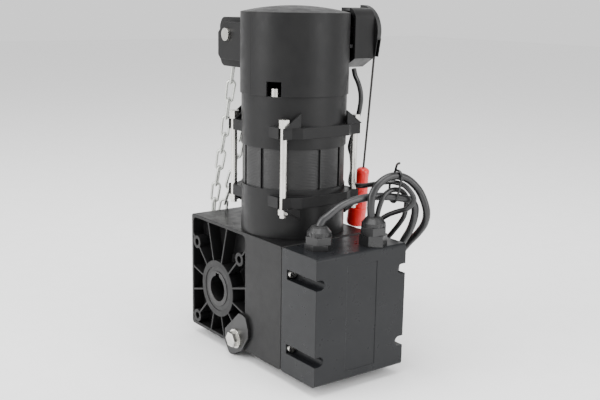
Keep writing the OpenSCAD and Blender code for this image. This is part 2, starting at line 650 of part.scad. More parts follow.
module crown_gear() color(steel) at_motor() difference() {
    union() {
        translate([0, 0, cap_z + 19.5]) cylinder(h = crown_plane_z - 2.8 - cap_z - 19.5, r = crown_r + 2.5);
        translate([0, 0, cap_z + 19.5]) cylinder(h = 12, r = 11);
        for (i = [0:crown_teeth - 1]) rotate(-90 + (i + 0.5) * 360 / crown_teeth)
            translate([crown_r - 1.8, 0, crown_plane_z]) rotate([90, 0, 90]) linear_extrude(3.6)
                polygon([[-1.2, -3], [1.2, -3], [0.5, 1], [-0.5, 1]]);
    }
    translate([0, 0, cap_z]) cylinder(h = 60, r = motor_shaft_r + running);
}
module clutch_sleeve() color(brass) at_motor(229.3) difference() {
    cylinder(h = 12, r = 12);
    translate([0, 0, -1]) cylinder(h = 20, r = motor_shaft_r + running);
    translate([0, 0, 4.7]) difference() {
        cylinder(h = 4, r = 14);
        translate([0, 0, -1]) cylinder(h = 6, r = 9.8);
    }
}
module shift_fork() color(steel) difference() {
    union() {
        box(40.5, 66.5, 44, 70, 234.3, 237.7);
        box(61, 66.5, 69, 109, 234.3, 237.7);
        box(66, 80.5, 105, 109, 234.3, 237.7);
        box(70.3, 80.5, 105, 109, 237, 256);
    }
    at_motor(230) cylinder(h = 12, r = 10.2);
    box(motor_x - 10.2, motor_x + 10.2, 40, motor_y, 230, 242);
    box(71.4, 77, 104, 110, lever_z - 2.3, lever_z + 2.3);
}

// Clutch release
module release_housing() color(cast) difference() {
    plate_y(95, 117.7) {
        polygon([[58, 217], [70.5, 217], [85.5, 226], [85.5, 261.5], [75.5, 261.5], [75.5, 271.5], [58, 271.5]]);
        translate([75.5, 261.5]) circle(10);
    }
    at_motor(0) cylinder(h = 400, r = cut_r);
    plate_y(90, 114.7) polygon([[60, 220], [69.5, 220], [82.5, 228], [82.5, 262], [76, 268.5], [60, 268.5]]);
    box(57, 70, 80, 100, 228, 243);
    rod_y(110, 120, pin_r + running, lever_x, lever_z);
}
module release_lever() color(dark) difference() {
    plate_y(lever_y0, lever_y1) union() {
        translate([lever_x, lever_z]) circle(9);
        difference() {
            translate([lever_x, lever_z]) circle(lever_r);
            polygon([[lever_x, lever_z], [30, 262], [30, 215], [lever_x, 215]]);
            polygon([[lever_x - 2, lever_z + 4], [lever_x - 2, 290], [30, 290], [30, 240]]);
            polygon([[60, 215], [60, 238], [72, 226.2], [90, 226.2], [100, 226.2], [100, 215]]);
        }
        polygon([[lever_x, lever_z], [72, 227], [86.8, 227], [lever_x + lever_r, 244]]);
    }
    rod_y(100, 130, pin_r, lever_x, lever_z);
    box(83.2, 100, lever_y0 + 0.4, lever_y0 + 4, 220, 243);
    box(81, 85, lever_y0 + 0.4, lever_y0 + 4, 226, 233);
}
module release_crank() color(steel) {
    rod_y(100.5, lever_y1 + 1.5, pin_r, lever_x, lever_z);
    rod_y(lever_y1, lever_y1 + 1.5, 6, lever_x, lever_z);
    plate_y(100.5, 104.4) {
        translate([lever_x, lever_z]) circle(5.5);
        translate([lever_x, lever_z - 3]) square([crank_arm, 6]);
        translate([lever_x + crank_arm, lever_z]) circle(3);
    }
    rod_y(101, 109.5, 2, lever_x + crank_arm, lever_z);
}
module return_spring() color(zinc) for (i = [0:3]) translate([lever_x, 110 + 1.2 * i, lever_z])
    rotate([90, 0, 0]) rotate_extrude() translate([4.9, 0]) circle(0.5);
module release_cord() color(dark) cord_tube([cord_top, (2 * cord_top + handle_top) / 3,
    (cord_top + 2 * handle_top) / 3, handle_top], cord_d, 3, 8);
module pull_handle() color(red) {
    lean = atan((handle_top[0] - handle_low[0]) / (handle_top[2] - handle_low[2]));
    long = norm(handle_top - handle_low);
    translate(handle_low) rotate([0, lean, 0]) rotate_extrude()
        polygon([[0, 0], [7.6, 0], [8.8, 1.2], [9.1, 4], [9.1, 18], [8.9, 20], [7.9, 37], [6.4, 48], [6.2, long - 2],
            [4.6, long - 0.4], [1.6, long], [0, long]]);
}

// Chain, cables and what is on them
module chain_front() color(zinc) cord_tube(chain_front_route, chain_w, 2, 8);
module chain_back() color(zinc) cord_tube(chain_back_route, chain_w, 2, 8);
module chain_coil() color(zinc) coil(chain_coil_place, chain_coil_in_r, chain_coil_out_r, chain_coil_h);
module cable_a() color(grey) cord_tube(cable_a_route, cable_d, 3, 8);
module coil_a() color(grey) coil(coil_a_place, coil_in_r, coil_out_r, coil_h);
module cable_b() color(dark) cord_tube(cable_b_route, cable_d, 3, 8);
module coil_b() color(dark) coil(coil_b_place, coil_in_r, coil_out_r, coil_h);
module plug(place, turn) translate(place) rotate(turn) {
    translate([0, 0, 8]) rotate([0, 90, 0]) cylinder(h = 30, r = 8);
    translate([30, 0, 8]) rotate([0, 90, 0]) cylinder(h = 12, r = 6.5);
}
module plug_a() color(dark) plug(plug_a_place, 90);
module plug_b() color(dark) plug(plug_b_place, 180);
module link_cable() color(dark) cord_tube(link_route, lead_d, 3, 8);
module motor_lead() color(dark) cord_tube(lead_route, lead_d, 2, 8);

gear_housing();
rear_cover();
cover_screws();
hollow_shaft();
worm_wheel();
drive_pulley();
shaft_bearings();
shaft_seals();
worm_shaft();
worm_bearings();
anchor_lug();
anchor_plate();
flange_bolt();
terminal_hood();
hood_gasket();
hood_screws();
circuit_board();
terminal_block();
cam_shaft();
limit_belt();
gland_bodies();
gland_nuts();
grommets();
lower_bell();
stator_core();
windings();
rotor_core();
upper_bell();
tie_bolts();
cap_rear();
cap_cover();
cap_screws();
guard_body();
guard_cover();
guard_pin();
chain_wheel();
idler_one();
idler_two();
cross_gear();
crown_gear();
clutch_sleeve();
shift_fork();
release_housing();
release_lever();
release_crank();
return_spring();
release_cord();
pull_handle();
chain_front();
chain_back();
chain_coil();
cable_a();
coil_a();
plug_a();
cable_b();
coil_b();
plug_b();
link_cable();
motor_lead();
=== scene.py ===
"""An industrial door opener: worm gearbox, flanged motor, cable hood, hand chain and clutch release.

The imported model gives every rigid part. This script dresses those parts, makes the cables, the chain
and the small fittings, and sets up the studio.
"""
import json
import logging
import math
from dataclasses import dataclass, field
from enum import Enum

import bmesh
import bpy
from mathutils import Matrix, Vector


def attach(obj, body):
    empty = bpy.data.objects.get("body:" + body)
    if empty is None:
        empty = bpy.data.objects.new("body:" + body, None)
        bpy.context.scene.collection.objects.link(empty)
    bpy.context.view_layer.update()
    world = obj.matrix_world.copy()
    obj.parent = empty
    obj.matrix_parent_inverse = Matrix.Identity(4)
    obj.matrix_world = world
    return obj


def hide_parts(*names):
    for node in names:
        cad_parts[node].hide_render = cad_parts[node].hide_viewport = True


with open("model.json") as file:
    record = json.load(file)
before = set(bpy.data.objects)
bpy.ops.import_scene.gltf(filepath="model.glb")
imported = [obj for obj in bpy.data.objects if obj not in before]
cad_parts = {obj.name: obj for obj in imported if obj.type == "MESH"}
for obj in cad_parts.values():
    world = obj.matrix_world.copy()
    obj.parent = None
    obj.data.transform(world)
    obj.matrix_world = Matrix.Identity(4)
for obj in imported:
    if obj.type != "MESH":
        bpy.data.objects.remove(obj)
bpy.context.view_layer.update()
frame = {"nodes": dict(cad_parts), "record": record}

logging.basicConfig(level=logging.INFO, format="%(message)s")
log = logging.getLogger("door_opener")

MM = 0.001
FLOOR_Z = -57.6
MOTOR = Vector((53.5, 50.5, 0.0))

Point = tuple[float, float, float]
Colour = tuple[float, float, float]


# Finishes ---------------------------------------------------------------------------------------

class Grain(Enum):
    """The kind of fine relief that a finish has."""

    CAST = "cast"
    MOULDED = "moulded"
    DRAWN = "drawn"
    SMOOTH = "smooth"
    WOVEN = "woven"


@dataclass(frozen=True)
class Finish:
    """One finish: its colours, gloss, relief and rounded edges.

    Lengths are in metres. `tint` is the second colour of the soft colour variation.
    """

    name: str
    colour: Colour
    tint: Colour
    roughness: float
    metallic: float = 0.0
    grain: Grain = Grain.MOULDED
    grain_scale: float = 900.0
    relief: float = 0.12
    edge: float = 0.0005
    specular: float = 0.5
    coat: float = 0.0
    spread: float = 0.08

    def build(self) -> bpy.types.Material:
        """Makes the finish's material.

        Returns:
            The material, or the one made earlier under the same name.
        """
        made = bpy.data.materials.get(self.name)
        if made:
            return made
        material = bpy.data.materials.new(self.name)
        material.use_nodes = True
        tree = material.node_tree
        tree.nodes.clear()
        out = tree.nodes.new("ShaderNodeOutputMaterial")
        shader = tree.nodes.new("ShaderNodeBsdfPrincipled")
        shader.inputs["Metallic"].default_value = self.metallic
        shader.inputs["Specular IOR Level"].default_value = self.specular
        shader.inputs["Coat Weight"].default_value = self.coat
        shader.inputs["Coat Roughness"].default_value = 0.12
        tree.links.new(shader.outputs[0], out.inputs[0])
        place = tree.nodes.new("ShaderNodeTexCoord").outputs["Object"]
        cloud = self._noise(tree, place, 38.0, 4.0)
        self._colour(tree, shader, cloud)
        self._gloss(tree, shader, place)
        self._relief(tree, shader, place)
        return material

    @staticmethod
    def _noise(tree: bpy.types.NodeTree, place: bpy.types.NodeSocket, scale: float,
               detail: float) -> bpy.types.NodeSocket:
        """Adds a noise pattern.

        Returns:
            Its factor socket.
        """
        noise = tree.nodes.new("ShaderNodeTexNoise")
        noise.inputs["Scale"].default_value = scale
        noise.inputs["Detail"].default_value = detail
        noise.inputs["Roughness"].default_value = 0.55
        tree.links.new(place, noise.inputs["Vector"])
        return noise.outputs["Fac"]

    def _colour(self, tree: bpy.types.NodeTree, shader: bpy.types.Node, cloud: bpy.types.NodeSocket) -> None:
        """Mixes the two colours by a soft cloud."""
        ramp = tree.nodes.new("ShaderNodeValToRGB")
        ramp.color_ramp.elements[0].position = 0.35
        ramp.color_ramp.elements[1].position = 0.70
        ramp.color_ramp.elements[0].color = (*self.colour, 1.0)
        ramp.color_ramp.elements[1].color = (*self.tint, 1.0)
        tree.links.new(cloud, ramp.inputs[0])
        tree.links.new(ramp.outputs[0], shader.inputs["Base Color"])

    def _gloss(self, tree: bpy.types.NodeTree, shader: bpy.types.Node, place: bpy.types.NodeSocket) -> None:
        """Lets the roughness wander round its middle value."""
        reach = tree.nodes.new("ShaderNodeMapRange")
        reach.inputs["From Min"].default_value = 0.3
        reach.inputs["From Max"].default_value = 0.7
        reach.inputs["To Min"].default_value = self.roughness - self.spread
        reach.inputs["To Max"].default_value = self.roughness + self.spread
        tree.links.new(self._noise(tree, place, 110.0, 3.0), reach.inputs["Value"])
        tree.links.new(reach.outputs["Result"], shader.inputs["Roughness"])

    def _relief(self, tree: bpy.types.NodeTree, shader: bpy.types.Node, place: bpy.types.NodeSocket) -> None:
        """Adds the grain's bump over softly rounded edges."""
        bevel = tree.nodes.new("ShaderNodeBevel")
        bevel.samples = 4
        bevel.inputs["Radius"].default_value = self.edge
        normal = bevel.outputs[0]
        if self.grain is not Grain.SMOOTH:
            bump = tree.nodes.new("ShaderNodeBump")
            bump.inputs["Strength"].default_value = self.relief
            bump.inputs["Distance"].default_value = 0.0004
            tree.links.new(self._grain(tree, place), bump.inputs["Height"])
            tree.links.new(normal, bump.inputs["Normal"])
            normal = bump.outputs[0]
        tree.links.new(normal, shader.inputs["Normal"])

    def _grain(self, tree: bpy.types.NodeTree, place: bpy.types.NodeSocket) -> bpy.types.NodeSocket:
        """Picks the height pattern of the grain.

        Returns:
            The pattern's height socket.
        """
        if self.grain is Grain.CAST:
            cells = tree.nodes.new("ShaderNodeTexVoronoi")
            cells.feature = "SMOOTH_F1"
            cells.inputs["Scale"].default_value = self.grain_scale
            tree.links.new(place, cells.inputs["Vector"])
            return cells.outputs["Distance"]
        if self.grain in (Grain.DRAWN, Grain.WOVEN):
            wave = tree.nodes.new("ShaderNodeTexWave")
            wave.wave_type = "BANDS"
            wave.bands_direction = "DIAGONAL" if self.grain is Grain.WOVEN else "Z"
            wave.inputs["Scale"].default_value = self.grain_scale
            wave.inputs["Distortion"].default_value = 1.5
            tree.links.new(place, wave.inputs["Vector"])
            return wave.outputs["Fac"]
        return self._noise(tree, place, self.grain_scale, 6.0)


BODY_CAST = Finish("cast_charcoal", (0.0060, 0.0060, 0.0063), (0.0085, 0.0084, 0.0085), 0.36, grain=Grain.CAST,
                   grain_scale=1500.0, relief=0.10, edge=0.0007, specular=0.20)
CAP_PAINT = Finish("cap_charcoal", (0.0075, 0.0075, 0.0078), (0.0098, 0.0097, 0.0098), 0.40, grain=Grain.MOULDED,
                   grain_scale=1500.0, relief=0.16, edge=0.0008, specular=0.20)
HOOD = Finish("hood_slate", (0.0078, 0.0084, 0.0096), (0.0100, 0.0106, 0.0118), 0.33, grain=Grain.MOULDED,
              grain_scale=1300.0, relief=0.10, edge=0.0009, specular=0.22)
BLACK_METAL = Finish("black_plate", (0.0050, 0.0050, 0.0052), (0.0070, 0.0070, 0.0072), 0.36, relief=0.08)
BLACK_PLASTIC = Finish("black_gland", (0.0075, 0.0075, 0.0080), (0.0105, 0.0105, 0.0110), 0.33, relief=0.06,
                       edge=0.0004)
ZINC = Finish("bright_zinc", (0.70, 0.69, 0.65), (0.56, 0.55, 0.52), 0.27, metallic=1.0, grain=Grain.MOULDED,
              grain_scale=420.0, relief=0.05, edge=0.0004)
CHAIN_ZINC = Finish("chain_zinc", (0.19, 0.22, 0.21), (0.08, 0.10, 0.10), 0.22, metallic=1.0,
                    grain=Grain.MOULDED, grain_scale=500.0, relief=0.05, edge=0.0002)
STEEL = Finish("turned_steel", (0.50, 0.50, 0.51), (0.36, 0.36, 0.37), 0.30, metallic=1.0, grain=Grain.DRAWN,
               grain_scale=320.0, relief=0.05)
DARK_STEEL = Finish("dark_steel", (0.030, 0.030, 0.031), (0.050, 0.049, 0.048), 0.34, metallic=0.85,
                    grain=Grain.DRAWN, grain_scale=320.0, relief=0.05)
BRASS = Finish("gear_bronze", (0.62, 0.42, 0.16), (0.50, 0.33, 0.12), 0.32, metallic=1.0, grain_scale=500.0,
               relief=0.06)
RUBBER = Finish("seal_rubber", (0.010, 0.010, 0.010), (0.014, 0.014, 0.014), 0.62, relief=0.10)
BOARD = Finish("board_green", (0.02, 0.11, 0.045), (0.03, 0.14, 0.06), 0.40, relief=0.05)
GREY_PLASTIC = Finish("grey_block", (0.16, 0.16, 0.17), (0.20, 0.20, 0.21), 0.45, relief=0.06)
STATOR = Finish("stator_stack", (0.0060, 0.0060, 0.0063), (0.0090, 0.0088, 0.0088), 0.42, metallic=0.2,
                grain=Grain.DRAWN, grain_scale=230.0, relief=0.35, edge=0.0004)
COPPER = Finish("copper_wire", (0.55, 0.22, 0.10), (0.42, 0.16, 0.07), 0.34, metallic=1.0, grain=Grain.DRAWN,
                grain_scale=420.0, relief=0.4)
RED = Finish("red_plastic", (0.42, 0.008, 0.010), (0.36, 0.006, 0.008), 0.26, grain=Grain.MOULDED,
             grain_scale=260.0, relief=0.03, coat=0.35, edge=0.0004)
RELEASE_CORD = Finish("release_cord", (0.010, 0.010, 0.010), (0.020, 0.014, 0.014), 0.6, grain=Grain.WOVEN,
                  grain_scale=700.0, relief=0.5, edge=0.0001)
GREY_CABLE = Finish("grey_jacket", (0.017, 0.017, 0.018), (0.022, 0.022, 0.023), 0.36, relief=0.05, edge=0.0001)
BLACK_CABLE = Finish("black_jacket", (0.0085, 0.0085, 0.0090), (0.0125, 0.0125, 0.0130), 0.34, relief=0.05,
                     edge=0.0001)
FLOOR = Finish("pale_floor", (0.93, 0.93, 0.93), (0.95, 0.95, 0.95), 0.85, grain=Grain.MOULDED, grain_scale=60.0,
               relief=0.01, edge=0.0001)

SLOT_FINISHES: dict[str, Finish] = {
    "cast": BODY_CAST, "hood_plastic": HOOD, "zinc": ZINC, "steel": STEEL, "brass": BRASS,
    "rubber": RUBBER, "black_metal": BLACK_METAL, "black_plastic": BLACK_PLASTIC, "board": BOARD,
    "grey_plastic": GREY_PLASTIC, "stator_iron": STATOR, "copper": COPPER, "red_plastic": RED,
    "black_cord": RELEASE_CORD, "chain_zinc": CHAIN_ZINC, "grey_cable": GREY_CABLE, "black_cable": BLACK_CABLE,
}
NODE_FINISHES: dict[str, Finish] = {
    "cap_rear": CAP_PAINT, "cap_cover": CAP_PAINT, "upper_bell": CAP_PAINT, "lower_bell": CAP_PAINT,
    "hollow_shaft": DARK_STEEL, "guard_body": CAP_PAINT, "guard_cover": CAP_PAINT,
}


# Curves and shapes ------------------------------------------------------------------------------

def bend_point(a: Vector, b: Vector, c: Vector, d: Vector, t: float) -> Vector:
    """A point between b and c on the smooth curve through a, b, c and d.

    Args:
        a: The route's point before b.
        b: Where the stretch starts.
        c: Where the stretch ends.
        d: The route's point after c.
        t: How far along, from 0 to 1.

    Returns:
        The point.
    """
    return 0.5 * (2 * b + (c - a) * t + (2 * a - 5 * b + 4 * c - d) * t * t
                  + (3 * b - a - 3 * c + d) * t * t * t)


def smooth_route(points: list[Vector], steps: int) -> list[Vector]:
    """A smooth line through the points of a route, with `steps` points to each stretch."""
    last = len(points) - 1
    line = [
        bend_point(points[max(i - 1, 0)], points[i], points[i + 1], points[min(i + 2, last)], k / steps)
        for i in range(last) for k in range(steps)
    ]
    return [*line, points[last]]


def length_of(line: list[Vector]) -> float:
    """The length of a line of points."""
    return sum((b - a).length for a, b in zip(line, line[1:]))


def trimmed(line: list[Vector], cut: float) -> list[Vector]:
    """A line without the points nearer than `cut` to either of its ends."""
    return [p for p in line if min((p - line[0]).length, (p - line[-1]).length) >= cut]


def ease(t: float) -> float:
    """A smooth step from 0 to 1."""
    t = min(max(t, 0.0), 1.0)
    return t * t * (3 - 2 * t)


@dataclass(frozen=True)
class Winding:
    """A neat round coil, wound clockwise from its outer bottom turn. Lengths are in millimetres."""

    centre: Point
    radii: tuple[float, ...]
    levels: tuple[float, ...]
    by_layer: bool = False
    last: float = 1.0
    steps: int = 28

    def places(self) -> list[tuple[float, float]]:
        """The radius and level of each turn, in the order of winding."""
        turns: list[tuple[float, float]] = []
        if self.by_layer:
            for n, level in enumerate(self.levels):
                row = self.radii if n % 2 == 0 else self.radii[::-1]
                turns += [(radius, level) for radius in row]
            return turns
        for n, radius in enumerate(self.radii):
            column = self.levels if n % 2 == 0 else self.levels[::-1]
            turns += [(radius, level) for level in column]
        return turns

    def at(self, angle: float, radius: float, level: float) -> Vector:
        """A point by its angle in degrees, radius and level."""
        turn = math.radians(angle)
        return Vector((self.centre[0] + radius * math.cos(turn), self.centre[1] + radius * math.sin(turn),
                       self.centre[2] + level))

    def line(self) -> list[Vector]:
        """The centreline of the whole coil."""
        turns = self.places()
        points: list[Vector] = []
        for n, (radius, level) in enumerate(turns):
            after = turns[min(n + 1, len(turns) - 1)]
            final = n == len(turns) - 1
            for k in range(round(self.steps * (self.last if final else 1.0))):
                share = k / self.steps
                shift = ease((share - 0.72) / 0.28)
                points.append(self.at(-90.0 - 360.0 * share, radius + (after[0] - radius) * shift,
                                      level + (after[1] - level) * shift))
        points.append(self.at(-90.0 - 360.0 * self.last, *turns[-1]))
        return points

    def tail(self, stations: tuple[Point, ...]) -> list[Vector]:
        """The points of a tail, each given by its angle, radius and level."""
        return [self.at(*station) for station in stations]


def new_mesh(name: str, points: list[Vector], edges: list[tuple[int, int]] | None = None,
             faces: list[tuple[int, ...]] | None = None) -> bpy.types.Object:
    """Links a mesh object. Its points are in millimetres.

    Returns:
        The object, at the origin.
    """
    mesh = bpy.data.meshes.new(name)
    mesh.from_pydata([tuple(p * MM) for p in points], edges or [], faces or [])
    piece = bpy.data.objects.new(name, mesh)
    bpy.context.scene.collection.objects.link(piece)
    return piece


def lathe(name: str, profile: list[tuple[float, float]], low: Vector, axis: Vector, finish: Finish,
          segments: int = 48) -> bpy.types.Object:
    """Turns a closed profile round an axis.

    Args:
        name: The piece's name.
        profile: Radius and height of each point, from the axis to the axis.
        low: Where the axis starts.
        axis: Which way the heights run.
        finish: The piece's finish.
        segments: How many faces go round.

    Returns:
        The piece.
    """
    shape = bmesh.new()
    turn = axis.normalized().to_track_quat("Z", "Y").to_matrix()
    rings: list[list[bmesh.types.BMVert]] = []
    for radius, height in profile:
        if radius < 1e-6:
            rings.append([shape.verts.new((low + turn @ Vector((0, 0, height))) * MM)])
            continue
        rings.append([
            shape.verts.new((low + turn @ Vector((radius * math.cos(2 * math.pi * k / segments),
                                                  radius * math.sin(2 * math.pi * k / segments), height))) * MM)
            for k in range(segments)
        ])
    for one, two in zip(rings, rings[1:]):
        for k in range(segments):
            j = (k + 1) % segments
            corners = [one[k % len(one)], one[j % len(one)], two[j % len(two)], two[k % len(two)]]
            unique = list(dict.fromkeys(corners))
            if len(unique) > 2:
                shape.faces.new(unique)
    bmesh.ops.recalc_face_normals(shape, faces=shape.faces)
    mesh = bpy.data.meshes.new(name)
    shape.to_mesh(mesh)
    shape.free()
    piece = bpy.data.objects.new(name, mesh)
    bpy.context.scene.collection.objects.link(piece)
    dress(piece, finish)
    smooth(piece)
    return piece


def dress(piece: bpy.types.Object, finish: Finish) -> None:
    """Gives a piece one finish."""
    piece.data.materials.clear()
    piece.data.materials.append(finish.build())


def smooth(piece: bpy.types.Object, angle: float = 35.0) -> None:
    """Shades a piece smooth, with its edges sharper than `angle` degrees kept."""
    piece.data.polygons.foreach_set("use_smooth", [True] * len(piece.data.polygons))
    piece.data.set_sharp_from_angle(angle=math.radians(angle))
    piece.data.update()


# Geometry Nodes ---------------------------------------------------------------------------------

class Tree:
    """A Geometry Nodes tree with named inputs, built step by step."""

    def __init__(self, name: str) -> None:
        """Starts an empty tree with its geometry input and output."""
        self.group = bpy.data.node_groups.new(name, "GeometryNodeTree")
        self.group.interface.new_socket("Geometry", in_out="INPUT", socket_type="NodeSocketGeometry")
        self.group.interface.new_socket("Geometry", in_out="OUTPUT", socket_type="NodeSocketGeometry")
        self.start = self.group.nodes.new("NodeGroupInput")
        self.end = self.group.nodes.new("NodeGroupOutput")

    def size(self, name: str, kind: str = "NodeSocketFloat") -> bpy.types.NodeSocket:
        """Adds a named input and returns its socket inside the tree."""
        self.group.interface.new_socket(name, in_out="INPUT", socket_type=kind)
        return self.start.outputs[name]

    def add(self, kind: str, **feeds: object) -> bpy.types.Node:
        """Adds a node.

        Args:
            kind: The node's type.
            feeds: What goes into its inputs, by name with _ for a space: a socket to link, or a value.

        Returns:
            The node.
        """
        node = self.group.nodes.new(kind)
        for name, value in feeds.items():
            self.feed(node, name.replace("_", " "), value)
        return node

    def feed(self, node: bpy.types.Node, name: str, value: object) -> None:
        """Links or sets one input of a node, found by its name."""
        spot = next(s for s in node.inputs if s.name == name and s.enabled)
        if isinstance(value, bpy.types.NodeSocket):
            self.group.links.new(value, spot)
        else:
            spot.default_value = value

    def close(self, shape: bpy.types.NodeSocket, material: bpy.types.Material) -> None:
        """Ends the tree in Realize Instances, smooth shading and Set Material."""
        real = self.add("GeometryNodeRealizeInstances", Geometry=shape)
        shaded = self.add("GeometryNodeSetShadeSmooth", Geometry=real.outputs[0])
        painted = self.add("GeometryNodeSetMaterial", Geometry=shaded.outputs[0], Material=material)
        self.group.links.new(painted.outputs[0], self.end.inputs[0])

    def apply(self, carrier: bpy.types.Object, name: str, sizes: dict[str, object]) -> bpy.types.Object:
        """Runs the tree on an object and keeps the result as a plain mesh.

        Args:
            carrier: The object whose mesh the tree starts from. It is removed.
            name: The new piece's name.
            sizes: The tree's named inputs.

        Returns:
            The new piece.
        """
        modifier = carrier.modifiers.new("shape", "NODES")
        modifier.node_group = self.group
        for item in self.group.interface.items_tree:
            if item.in_out == "INPUT" and item.name in sizes:
                modifier[item.identifier] = sizes[item.name]
        bpy.context.view_layer.update()
        mesh = bpy.data.meshes.new_from_object(
            carrier.evaluated_get(bpy.context.evaluated_depsgraph_get()))
        mesh.name = name
        bpy.data.objects.remove(carrier)
        piece = bpy.data.objects.new(name, mesh)
        bpy.context.scene.collection.objects.link(piece)
        return piece


def swept_tube(name: str, line: list[Vector], diameter: float, finish: Finish, sides: int = 14) -> bpy.types.Object:
    """Sweeps a round jacket along a line, by Geometry Nodes.

    Returns:
        The tube, closed at both ends.
    """
    tree = Tree(f"{name}_sweep")
    radius = tree.size("Radius")
    rounds = tree.size("Sides", "NodeSocketInt")
    curve = tree.add("GeometryNodeMeshToCurve", Mesh=tree.start.outputs[0])
    ring = tree.add("GeometryNodeCurvePrimitiveCircle", Resolution=rounds, Radius=radius)
    tube = tree.add("GeometryNodeCurveToMesh", Curve=curve.outputs[0], Profile_Curve=ring.outputs[0])
    tree.feed(tube, "Fill Caps", True)
    tree.close(tube.outputs[0], finish.build())
    carrier = new_mesh(f"{name}_line", line, [(i, i + 1) for i in range(len(line) - 1)])
    return tree.apply(carrier, name, {"Radius": diameter / 2 * MM, "Sides": sides})


def linked_chain(name: str, line: list[Vector], wire: float, width: float, pitch: float,
                 finish: Finish) -> bpy.types.Object:
    """Lays chain links along a line, each turned a quarter from the last, by Geometry Nodes.

    Args:
        name: The piece's name.
        line: The chain's centreline.
        wire: The diameter of a link's wire.
        width: The outside width of a link.
        pitch: The distance from one link to the next.
        finish: The links' finish.

    Returns:
        The chain.
    """
    tree = Tree(f"{name}_links")
    step = tree.size("Pitch")
    thick = tree.size("Wire radius")
    bow = tree.size("Bow radius")
    straight = tree.size("Straight length")
    spine = tree.add("GeometryNodeMeshToCurve", Mesh=tree.start.outputs[0])
    places = tree.add("GeometryNodeCurveToPoints", Curve=spine.outputs[0])
    places.mode = "LENGTH"
    tree.feed(places, "Length", step)
    circle = tree.add("GeometryNodeCurvePrimitiveCircle", Resolution=12, Radius=bow)
    spot = tree.add("GeometryNodeInputPosition")
    parts = tree.add("ShaderNodeSeparateXYZ", Vector=spot.outputs[0])
    side = tree.add("ShaderNodeMath")
    side.operation = "SIGN"
    nudge = tree.add("ShaderNodeMath")
    nudge.operation = "ADD"
    nudge.inputs[1].default_value = 1e-6
    tree.group.links.new(parts.outputs["X"], nudge.inputs[0])
    tree.group.links.new(nudge.outputs[0], side.inputs[0])
    half = tree.add("ShaderNodeMath")
    half.operation = "MULTIPLY"
    tree.group.links.new(side.outputs[0], half.inputs[0])
    tree.group.links.new(straight, half.inputs[1])
    move = tree.add("ShaderNodeCombineXYZ", X=half.outputs[0])
    stretched = tree.add("GeometryNodeSetPosition", Geometry=circle.outputs[0], Offset=move.outputs[0])
    section = tree.add("GeometryNodeCurvePrimitiveCircle", Resolution=6, Radius=thick)
    link = tree.add("GeometryNodeCurveToMesh", Curve=stretched.outputs[0], Profile_Curve=section.outputs[0])
    index = tree.add("GeometryNodeInputIndex")
    odd = tree.add("ShaderNodeMath")
    odd.operation = "MODULO"
    odd.inputs[1].default_value = 2.0
    tree.group.links.new(index.outputs[0], odd.inputs[0])
    quarter = tree.add("ShaderNodeMath")
    quarter.operation = "MULTIPLY_ADD"
    quarter.inputs[1].default_value = math.pi / 2
    quarter.inputs[2].default_value = math.pi / 4
    tree.group.links.new(odd.outputs[0], quarter.inputs[0])
    lay = tree.add("FunctionNodeAlignRotationToVector", Vector=places.outputs["Tangent"])
    lay.axis = "X"
    roll = tree.add("FunctionNodeAxisAngleToRotation", Angle=quarter.outputs[0])
    roll.inputs["Axis"].default_value = (1.0, 0.0, 0.0)
    both = tree.add("FunctionNodeRotateRotation", Rotation=lay.outputs[0], Rotate_By=roll.outputs[0])
    both.rotation_space = "LOCAL"
    chain = tree.add("GeometryNodeInstanceOnPoints", Points=places.outputs["Points"],
                     Instance=link.outputs[0], Rotation=both.outputs[0])
    tree.close(chain.outputs[0], finish.build())
    carrier = new_mesh(f"{name}_line", line, [(i, i + 1) for i in range(len(line) - 1)])
    middle = (width - wire) / 2
    sizes = {"Pitch": pitch * MM, "Wire radius": wire / 2 * MM, "Bow radius": middle * MM,
             "Straight length": (pitch + wire - 2 * middle) / 2 * MM}
    return tree.apply(carrier, name, sizes)


def ribs_round(name: str, centre: Vector, radius: float, height: float, count: int, rib: Point,
               finish: Finish, lean: float = 0.0) -> bpy.types.Object:
    """Stands small rounded ribs in a ring, by Geometry Nodes.

    Args:
        name: The piece's name.
        centre: The middle of the ring's foot.
        radius: The ring's radius.
        height: How far above the foot the ribs' middles are.
        count: How many ribs there are.
        rib: A rib's depth, width and height.
        finish: The ribs' finish.
        lean: How far the ribs lean inwards, in radians.

    Returns:
        The ribs as one piece.
    """
    tree = Tree(f"{name}_ring")
    number = tree.size("Count", "NodeSocketInt")
    reach = tree.size("Ring radius")
    size = tree.size("Rib size", "NodeSocketVector")
    ring = tree.add("GeometryNodeMeshCircle", Vertices=number, Radius=reach)
    block = tree.add("GeometryNodeMeshCube", Size=size)
    spot = tree.add("GeometryNodeInputPosition")
    turn = tree.add("FunctionNodeAlignRotationToVector", Vector=spot.outputs[0])
    turn.axis = "X"
    tilt = tree.add("FunctionNodeAxisAngleToRotation", Angle=-lean)
    tilt.inputs["Axis"].default_value = (0.0, 1.0, 0.0)
    both = tree.add("FunctionNodeRotateRotation", Rotation=turn.outputs[0], Rotate_By=tilt.outputs[0])
    both.rotation_space = "LOCAL"
    row = tree.add("GeometryNodeInstanceOnPoints", Points=ring.outputs[0], Instance=block.outputs[0],
                   Rotation=both.outputs[0])
    place = tuple((centre + Vector((0, 0, height))) * MM)
    moved = tree.add("GeometryNodeTransform", Geometry=row.outputs[0], Translation=place)
    tree.close(moved.outputs[0], finish.build())
    carrier = new_mesh(f"{name}_seed", [Vector((0, 0, 0))])
    sizes = {"Count": count, "Ring radius": radius * MM, "Rib size": tuple(v * MM for v in rib)}
    piece = tree.apply(carrier, name, sizes)
    smooth(piece, 30.0)
    return piece


# The studio -------------------------------------------------------------------------------------

@dataclass(frozen=True)
class Softbox:
    """A rectangular studio light, by where it stands, its size in metres and its power."""

    name: str
    place: Point
    width: float
    height: float
    power: float


